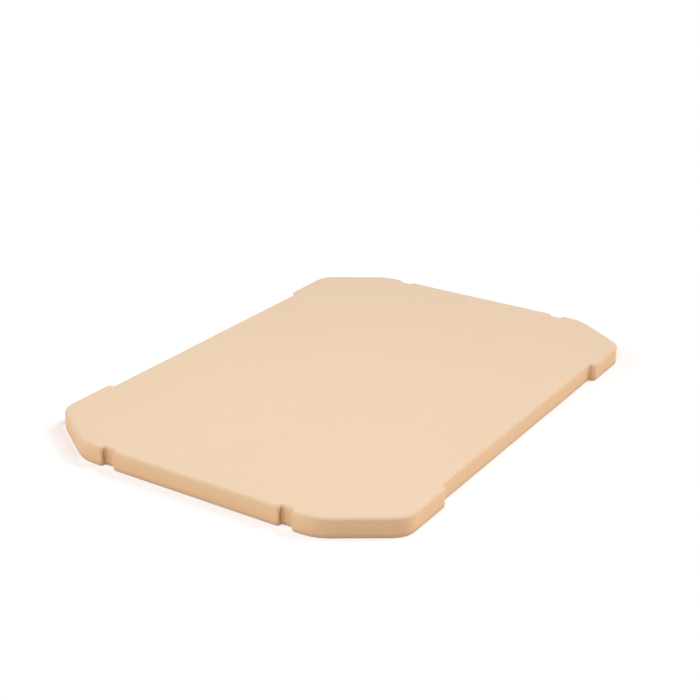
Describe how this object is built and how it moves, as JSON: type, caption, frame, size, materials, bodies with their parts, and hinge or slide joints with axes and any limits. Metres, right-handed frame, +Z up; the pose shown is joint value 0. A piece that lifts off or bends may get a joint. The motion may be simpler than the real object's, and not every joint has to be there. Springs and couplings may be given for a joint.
{
  "type": "pizza stone",
  "caption": "Flat rectangular ceramic baking stone with cut, rounded corners, notched short sides and recessed long sides, for a grill or oven.",
  "frame": {"origin": "centre of the underside, in the plane that the stone rests on", "axes": "+X across the short side, +Y along the long side, +Z up out of the cooking face"},
  "size_m": [0.343, 0.483, 0.018],
  "materials": {
    "fired_ceramic": "unglazed, fine-grained, matte"
  },
  "bodies": {
    "root": {"stone_slab": "fired_ceramic"}
  },
  "joints": []
}
